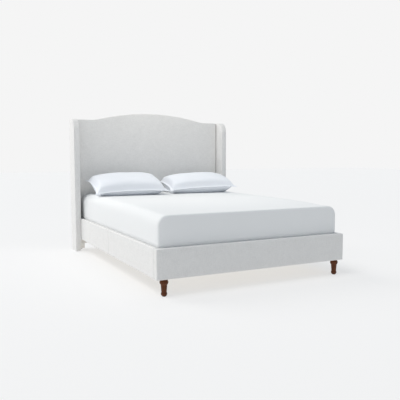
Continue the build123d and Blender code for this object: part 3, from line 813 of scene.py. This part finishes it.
class BED_OT_pad_wings(bpy.types.Operator):
    """Pads both wings and pipes their front and top edges"""

    bl_idname = "bed.pad_wings"
    bl_label = "Pad wings"

    def execute(self, context):
        for side in (-1, 1):
            self.pad_wing(context.scene.bed_upholstery, side)
        return {"FINISHED"}

    def pad_wing(self, settings, side):
        name = "left" if side < 0 else "right"
        low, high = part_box(f"{name}_wing_cover")
        inner = low.x if side > 0 else high.x
        pad = block(f"{name}_wing_pad", low, high)
        corner, toe = settings.wing_corner, settings.wing_toe
        round_edges(
            pad,
            lambda at, way: abs(way.x) > 0.9 and at.y < low.y + NEAR and at.z > high.z - NEAR,
            corner,
            14,
        )
        round_edges(
            pad,
            lambda at, way: abs(way.y) > 0.9 and abs(at.x - inner) < NEAR and at.z < low.z + NEAR,
            toe,
            7,
        )
        slice_at(pad, 2, steps(low.z + toe, high.z - corner, 0.03))
        slice_at(pad, 1, steps(low.y, high.y, 0.02))
        slice_at(pad, 0, [low.x + 0.012, (low.x + high.x) / 2, high.x - 0.012])
        soften(pad, settings.wing_edge, 4)
        self.plump(pad, low, high, corner)
        smooth(pad, 50)
        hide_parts(f"{name}_wing_cover", f"{name}_wing_foam")
        dressed(pad, frame_fabric())
        radius = settings.welt_radius
        for x, inward in ((low.x, radius), (high.x, -radius)):
            edge = "inner" if x == inner else "outer"
            line = self.edge_line(low, high, corner, toe, x + inward, radius)
            welt = tube(f"{name}_wing_{edge}_piping", line, radius)
            smooth(welt, 60)
            dressed(welt, frame_fabric())

    def plump(self, pad, low, high, corner):
        """Swells the wing's sides and its boxing between the lines of piping."""
        middle = (low.x + high.x) / 2
        half = (high.x - low.x) / 2
        side_swell, boxing_swell = 0.003, 0.0028
        for vertex in pad.data.vertices:
            p = vertex.co
            into_corner = Vector((low.y + corner - p.y, p.z - (high.z - corner)))
            if into_corner.x > 0 and into_corner.y > 0:
                depth = corner - into_corner.length
                way = Vector((0, -into_corner.x, into_corner.y)).normalized()
            else:
                depth = min(p.y - low.y, high.z - p.z)
                way = Vector((0, -1, 0)) if p.y - low.y < high.z - p.z else Vector((0, 0, 1))
            ripple = 0.6 + 0.5 * noise.noise(Vector((p.x, p.y * 6, p.z * 5)))
            if abs(abs(p.x - middle) - half) < NEAR / 10:
                edge = min(depth, high.y - p.y, p.z - low.z)
                p.x += math.copysign(side_swell, p.x - middle) * ease(edge / 0.06) * ripple
            elif depth < NEAR:
                across = 1 - abs(p.x - middle) / half
                vertex.co = p + way * boxing_swell * ease(across / 0.8)

    def edge_line(self, low, high, corner, toe, x, inset):
        """The line of a wing's piping: up the front, round the corner and back along the top."""
        front, top = low.y + inset, high.z - inset
        bend = corner - inset
        points = [(x, front, low.z + toe)]
        points += [(x, front, z) for z in steps(low.z + toe, top - bend, 0.1)]
        last = 14
        for k in range(last + 1):
            turn = math.pi / 2 * k / last
            points.append((x, front + bend * (1 - math.cos(turn)), top - bend * (1 - math.sin(turn))))
        points.append((x, high.y - 0.004, top))
        return points


class BED_OT_wrap_rails(bpy.types.Operator):
    """Wraps the side rails and the foot rail in linen"""

    bl_idname = "bed.wrap_rails"
    bl_label = "Wrap rails"

    def execute(self, context):
        settings = context.scene.bed_upholstery
        for name in ("left", "right"):
            for half in ("foot", "head"):
                self.wrap_side(settings, name, half)
        self.wrap_foot(settings)
        return {"FINISHED"}

    def wrap_side(self, settings, name, half):
        low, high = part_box(f"{name}_rail_{half}_cover")
        wrap = block(f"{name}_{half}_rail_wrap", low, high)
        outer, inner = (low.x, high.x) if name == "left" else (high.x, low.x)
        round_edges(
            wrap, lambda at, way: abs(way.y) > 0.9 and abs(at.x - outer) < NEAR, settings.rail_edge, 4
        )
        round_edges(
            wrap,
            lambda at, way: abs(way.y) > 0.9 and abs(at.x - inner) < NEAR and at.z > high.z - NEAR,
            settings.rail_edge,
            4,
        )
        lip = settings.skin + RAIL_TURN
        slice_at(wrap, 2, [low.z + lip, high.z - lip] + steps(low.z + lip, high.z - lip, 0.03))
        # Close to both ends the rows lie nearer together, for the turn of the fabric.
        near = (0.0015, 0.0035, 0.007, 0.012)
        ends = [low.y + k for k in near] + [high.y - k for k in near]
        slice_at(wrap, 1, ends + steps(low.y + near[-1], high.y - near[-1], 0.05))
        remove_faces(
            wrap,
            lambda centre, normal: abs(normal.y) > 0.9
            or (abs(centre.x - inner) < NEAR and low.z + lip < centre.z < high.z - lip),
        )
        swell(wrap, 0.0016, 0.05, axes=(0,))
        self.turn_in(wrap, low, high)
        finish_with(wrap, "SOLIDIFY", thickness=settings.skin * 0.9, offset=-1)
        smooth(wrap, 50)
        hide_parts(f"{name}_rail_{half}_cover")
        dressed(wrap, frame_fabric())

    def turn_in(self, wrap, low, high):
        """Draws the fabric in at a wrap's two ends, where it turns over the end of the board."""
        middle = (low + high) / 2
        bend, depth = 0.007, 0.0055
        for vertex in wrap.data.vertices:
            p = vertex.co
            end = min(p.y - low.y, high.y - p.y)
            if end < bend:
                drawn = depth * (1 - math.sqrt(1 - (1 - end / bend) ** 2))
                p.x -= math.copysign(drawn, p.x - middle.x)
                p.z -= math.copysign(drawn, p.z - middle.z)

    def wrap_foot(self, settings):
        low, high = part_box("foot_rail_cover")
        wrap = block("foot_rail_wrap", low, high)
        round_edges(
            wrap,
            lambda at, way: at.y < low.y + NEAR or at.z > high.z - NEAR or abs(way.z) > 0.9,
            settings.rail_edge,
            4,
        )
        lip = settings.skin + RAIL_TURN
        # The linen's ends are folded this far onto the rail's inner face.
        margin = 0.120
        left, right = low.x + margin, high.x - margin
        slice_at(wrap, 2, [low.z + lip, high.z - lip] + steps(low.z + lip, high.z - lip, 0.03))
        slice_at(wrap, 0, [left, right] + steps(left, right, 0.06))
        slice_at(wrap, 0, [low.x + 0.03, low.x + 0.07, high.x - 0.03, high.x - 0.07])
        remove_faces(
            wrap,
            lambda centre, normal: normal.y > 0.9
            and low.z + lip < centre.z < high.z - lip
            and abs(centre.x) < high.x - margin,
        )
        swell(wrap, 0.0018, 0.05, axes=(1,))
        finish_with(wrap, "SOLIDIFY", thickness=settings.skin * 0.9, offset=-1)
        smooth(wrap, 50)
        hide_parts("foot_rail_cover")
        dressed(wrap, frame_fabric())


def rise_at(y, settings):
    """How far the mattress's top lies above its nominal height, this far up the bed."""
    up = y - BEDDING[0].y
    return settings.head_rise * ease(up / 0.9) - settings.foot_drop * (1 - ease(up / 0.35))


class BED_OT_make_mattress(bpy.types.Operator):
    """Makes the mattress and stretches the fitted sheet over it"""

    bl_idname = "bed.make_mattress"
    bl_label = "Make mattress"

    def execute(self, context):
        settings = context.scene.bed_bedding
        low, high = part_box("mattress")
        core = self.cushion("sprung_mattress", low, high, settings, 0.0)
        smooth(core, 50)
        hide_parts("mattress")
        knit = material("mattress_ticking", ticking, hex_colour("E6E2D8"))
        dressed(core, knit, "mattress_and_sheet")
        hem, top = BEDDING
        sheet = self.cushion("stretched_sheet", (hem.x, hem.y, low.z), top, settings, 0.002)
        remove_faces(sheet, lambda centre, normal: centre.z < low.z + 0.0015)
        self.gather_hem(sheet, low)
        finish_with(sheet, "SOLIDIFY", thickness=settings.sheet_thickness, offset=-1)
        smooth(sheet, 50)
        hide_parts("fitted_sheet")
        cotton = material("cotton_percale_sheet", percale, settings.sheet_colour)
        dressed(sheet, cotton, "mattress_and_sheet")
        return {"FINISHED"}

    def cushion(self, name, low, high, settings, swelling):
        """A mattress's form: full shoulders along both sides, tighter edges at its ends."""
        low, high = Vector(low), Vector(high)
        shoulder = settings.shoulder
        made = block(name, low, high)
        round_edges(made, lambda at, way: abs(way.y) > 0.9 and at.z > high.z - NEAR, shoulder, 12)
        round_edges(made, lambda at, way: abs(way.y) > 0.9 and at.z < low.z + NEAR, LOWER_EDGE, 4)
        slice_at(made, 1, steps(low.y, high.y, 0.06))
        slice_at(made, 0, steps(low.x + shoulder, high.x - shoulder, 0.06))
        slice_at(made, 2, steps(low.z + 0.03, high.z - shoulder, 0.04))
        for end in (low.y, high.y):
            round_edges(
                made,
                lambda at, way: abs(at.y - end) < NEAR
                and abs(way.y) < 0.1
                and self.on_rim(at, low, high, shoulder),
                settings.end_edge,
                4,
            )
        # Close rows of vertices where the sides are drawn in behind the rails.
        slice_at(made, 2, [RAIL_TOP + 0.006 * k for k in range(-1, 6)])
        swell(made, swelling, 0.2, axes=(0, 1))
        self.tuck_in(made, low, high)
        for vertex in made.data.vertices:
            share = max(0.0, (vertex.co.z - RAIL_TOP) / (high.z - RAIL_TOP))
            vertex.co.z += share * rise_at(vertex.co.y, settings)
        return made

    def tuck_in(self, piece, low, high):
        """Draws the mattress's sides in where they go down behind the rails."""
        middle = (low + high) / 2
        depth, reach = 0.004, 0.03
        for vertex in piece.data.vertices:
            p = vertex.co
            drawn = depth * (1 - ease((p.z - RAIL_TOP + 0.004) / reach))
            for k in (0, 1):
                if abs(p[k] - middle[k]) > (high[k] - low[k]) / 2 - reach:
                    p[k] -= math.copysign(drawn, p[k] - middle[k])

    def on_rim(self, at, low, high, shoulder):
        """Whether a point of an end face lies on its outline."""
        across = max(abs(at.x) - (high.x - shoulder), 0.0)
        up = max(at.z - (high.z - shoulder), 0.0)
        if across > 0 and up > 0:
            return math.hypot(across, up) > shoulder - 0.0025
        down = max(low.z + LOWER_EDGE - at.z, 0.0)
        beside = max(abs(at.x) - (high.x - LOWER_EDGE), 0.0)
        if down > 0 and beside > 0:
            return math.hypot(down, beside) > LOWER_EDGE - 0.0015
        return high.x - abs(at.x) < NEAR or high.z - at.z < NEAR or at.z - low.z < NEAR

    def gather_hem(self, sheet, low):
        """Puckers the sheet's lowest edge, where its elastic pulls it in."""
        band, drawn, pucker, rate = 0.05, 0.001, 0.0012, 140
        for vertex in sheet.data.vertices:
            p = vertex.co
            share = 1 - ease((p.z - low.z) / band)
            if share > 0:
                along = p.x if abs(p.y) > abs(p.x) * 1.3 else p.y
                pull = pucker * share * math.sin(along * rate)
                p.x -= math.copysign(drawn * share, p.x) + pull * (abs(p.x) > 0.75)
                p.y -= math.copysign(drawn * share, p.y)


class BED_OT_make_pillows(bpy.types.Operator):
    """Fills both pillows and lays them against the headboard"""

    bl_idname = "bed.make_pillows"
    bl_label = "Make pillows"

    def execute(self, context):
        settings = context.scene.bed_bedding
        # Each pillow's middle at the level of its seam, its turn, and its roll and tilt in degrees.
        for name, place, turn, roll, tilt in (
            ("left", (-0.3821, 0.7054, 0.6750), settings.left_turn, -1.1, 13.5),
            ("right", (0.3925, 0.7105, 0.6714), settings.right_turn, -2.1, 8.6),
        ):
            pillow = self.lay_pillow(settings, name, place, turn, roll, tilt)
            smooth(pillow, 80)
            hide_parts(f"{name}_pillow", f"{name}_pillowcase")
            case = material("cotton_percale_pillowcase", percale, settings.case_colour)
            dressed(pillow, case, f"{name}_pillow_in_case")
        return {"FINISHED"}

    def lay_pillow(self, settings, name, place, turn, roll, tilt):
        """A filled pillow, tilted against the headboard and pressed flat where it lies on the sheet."""
        pillow = self.sewn_case(f"{name}_cased_pillow", settings, 1.0 if name == "left" else 5.0)
        self.fill_out(pillow)
        # It rests just above the sheet.
        rest = BEDDING[1].z + 0.0006
        turned = (
            Matrix.Translation(place)
            @ Matrix.Rotation(turn, 4, "Z")
            @ Matrix.Rotation(math.radians(roll), 4, "Y")
            @ Matrix.Rotation(math.radians(tilt), 4, "X")
        )
        pillow.data.transform(turned)
        for vertex in pillow.data.vertices:
            vertex.co.z = max(vertex.co.z, rest + rise_at(vertex.co.y, settings))
        return pillow

    def sewn_case(self, name, settings, seed):
        """The form of a filled case: two panels that meet at a flat seam, drawn in along its sides."""
        length, depth = settings.pillow_length, settings.pillow_depth
        pitch = settings.case_pitch
        # Each panel's height over the seam, and the powers by which it rises from its ends, its
        # front and its back.
        upper = (settings.pillow_crown, 0.5, 0.75, 0.47)
        lower = (-0.140, 0.38, 1.3, 0.9)
        # The powers by which both stay full towards their ends, and towards their front and back.
        end_fullness, side_fullness = 3.25, 2.85
        lump, lump_rate = 0.004, 9
        deselect()
        faces = {"x_subdivisions": round(length / pitch), "y_subdivisions": round(depth / pitch)}
        bpy.ops.mesh.primitive_grid_add(size=2, **faces)
        pillow = bpy.context.object
        pillow.name = pillow.data.name = name
        bpy.ops.object.mode_set(mode="EDIT")
        bpy.ops.mesh.select_all(action="SELECT")
        bpy.ops.mesh.extrude_region_move(TRANSFORM_OT_translate={"value": (0, 0, -1)})
        bpy.ops.object.mode_set(mode="OBJECT")
        for vertex in pillow.data.vertices:
            u, v, side = vertex.co
            corner = (u * v) ** 2
            x = u * (length / 2 - settings.pull_in * (1 - v * v) + settings.ear * corner**3)
            y = v * (depth / 2 - settings.pull_in * (1 - u * u) + settings.ear * corner**3)
            inside = min(length / 2 * (1 - abs(u)), depth / 2 * (1 - abs(v)))
            flat = ease((inside - settings.flange / 3) / (settings.flange * 1.7))
            along = max(0.0, 1 - abs(u) ** end_fullness)
            across = max(0.0, 1 - abs(v) ** side_fullness)
            # The filling lies high towards the headboard and slopes to the front seam, over a hollow.
            height, ends, front, back = upper if side > -0.5 else lower
            rise = height * along**ends * across ** (front if v < 0 else back)
            lumps = lump * noise.noise(Vector((x * lump_rate + seed, y * lump_rate, side)))
            hang = settings.margin_hang * (1 - ease(inside / (2.2 * settings.flange)))
            z = (rise + lumps * along * across) * flat - hang - settings.droop * corner**2
            vertex.co = (x, y, z)
        outward(pillow)
        return pillow

    def fill_out(self, pillow):
        """Lets the case's cloth crease round the filling, close to the form it starts from."""
        form = [vertex.co.copy() for vertex in pillow.data.vertices]
        choose(pillow)
        cloth = pillow.modifiers.new("cloth", "CLOTH")
        given = cloth.settings
        given.quality = 4
        given.mass = 0.15
        given.air_damping = 3
        given.tension_stiffness = given.compression_stiffness = 12
        given.shear_stiffness = 5
        given.bending_stiffness = 0.3
        given.shrink_min = -0.025
        given.use_pressure = True
        given.uniform_pressure_force = 0.25
        given.effector_weights.gravity = 0
        cloth.collision_settings.use_collision = False
        scene = bpy.context.scene
        last_frame = 20
        for frame_number in range(1, last_frame + 1):
            scene.frame_set(frame_number)
        bpy.ops.object.modifier_apply(modifier=cloth.name)
        scene.frame_set(1)
        # No vertex of the case ends further than this from the form.
        most = 0.004
        for vertex, start in zip(pillow.data.vertices, form):
            moved = vertex.co - start
            if moved.length > most:
                vertex.co = start + moved.normalized() * most
        finish_with(pillow, "SUBSURF", levels=1, render_levels=1)


class BED_OT_hang_straps(bpy.types.Operator):
    """Hangs the two webbing straps under the slats"""

    bl_idname = "bed.hang_straps"
    bl_label = "Hang straps"

    def execute(self, context):
        low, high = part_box("slat_straps")
        slats = [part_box(f"slat_{k:02d}") for k in range(1, 13)]
        made = []
        width, sag = 0.025, 0.004
        for number, x in enumerate((low.x, high.x - width)):
            strap = block(f"strap_{number}", (x, low.y, low.z), (x + width, high.y, high.z))
            slice_at(strap, 1, steps(low.y, high.y, 0.012))
            for vertex in strap.data.vertices:
                y = vertex.co.y
                for (_, before), (after, _) in zip(slats, slats[1:]):
                    if before.y < y < after.y:
                        share = (y - before.y) / (after.y - before.y)
                        vertex.co.z -= sag * math.sin(math.pi * share)
            made.append(strap)
        straps = joined(made, "webbing_straps")
        smooth(straps, 30)
        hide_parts("slat_straps")
        yarn = material("polypropylene_webbing", webbing, hex_colour("DCD8CC"))
        dressed(straps, yarn)
        return {"FINISHED"}


class BED_OT_finish_frame(bpy.types.Operator):
    """Gives the timber, steel and plastic pieces of the frame their finishes"""

    bl_idname = "bed.finish_frame"
    bl_label = "Finish frame"

    def execute(self, context):
        settings = context.scene.bed_timber
        planed = {"Roughness": 0.6, "Specular IOR Level": 0.4}
        lacquered = {
            "Roughness": 0.38,
            "Specular IOR Level": 0.22,
            "Coat Weight": 0.04,
            "Coat Roughness": 0.2,
        }
        grain = settings.grain_width
        stained = (timber, settings.leg_colour, grain * 0.6, "Z", lacquered, (0.45, 1.25))
        finishes = {
            "turned_leg_wood": material("walnut_stained_beech", *stained),
            "slat_wood": material("planed_poplar", timber, settings.slat_colour, grain, "X", planed),
            "bolt_steel": material("zinc_plated_steel", plated_steel, hex_colour("9A9B9E")),
            "bracket_steel": material("powder_coated_steel", powder_coat, settings.steel_colour),
            "glide_plastic": material("polypropylene_glide", moulded_plastic, hex_colour("232323")),
            "leveller_plastic": material("moulded_nylon_foot", moulded_plastic, hex_colour("1B1B1C")),
        }
        pine = settings.pine_colour
        boards = {
            axis: material(f"planed_pine_{axis.lower()}", timber, pine, grain, axis, planed)
            for axis in "XYZ"
        }
        slots = {part["node"]: part["material_slot"] for part in frame["record"]["subparts"]}
        # White primer nearly hides the grain of the posts.
        primed = (timber, hex_colour("F4F3F0"), grain, "Z", planed, (0.96, 1.02))
        primer = material("primed_pine", *primed)
        for name, piece in frame["nodes"].items():
            finish = finishes.get(slots[name])
            if slots[name] == "frame_timber":
                low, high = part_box(name)
                size = high - low
                finish = boards["XYZ"[max(range(3), key=lambda k: size[k])]]
                if name.endswith("_post"):
                    finish = primer
            if finish:
                piece.data.materials.clear()
                piece.data.materials.append(finish)
        return {"FINISHED"}


class BED_PT_panel(bpy.types.Panel):
    """Lists the steps that dress the bed"""

    bl_idname = "BED_PT_panel"
    bl_label = "Bed"
    bl_space_type = "VIEW_3D"
    bl_region_type = "UI"
    bl_category = "Bed"

    def draw(self, context):
        for step in STEPS:
            self.layout.operator(step.bl_idname)
        for name, group in GROUPS.items():
            box = self.layout.box()
            for prop in group.__annotations__:
                box.prop(getattr(context.scene, name), prop)


STEPS = (
    BED_OT_set_stage,
    BED_OT_pad_headboard,
    BED_OT_close_back,
    BED_OT_pad_wings,
    BED_OT_wrap_rails,
    BED_OT_make_mattress,
    BED_OT_make_pillows,
    BED_OT_hang_straps,
    BED_OT_finish_frame,
)


def register():
    for name, group in GROUPS.items():
        bpy.utils.register_class(group)
        setattr(bpy.types.Scene, name, PointerProperty(type=group))
    for step in STEPS:
        bpy.utils.register_class(step)
    bpy.utils.register_class(BED_PT_panel)


def unregister():
    bpy.utils.unregister_class(BED_PT_panel)
    for step in reversed(STEPS):
        bpy.utils.unregister_class(step)
    for name, group in GROUPS.items():
        delattr(bpy.types.Scene, name)
        bpy.utils.unregister_class(group)


def main():
    register()
    for step in STEPS:
        family, action = step.bl_idname.split(".")
        getattr(getattr(bpy.ops, family), action)()


if __name__ == "__main__":
    main()
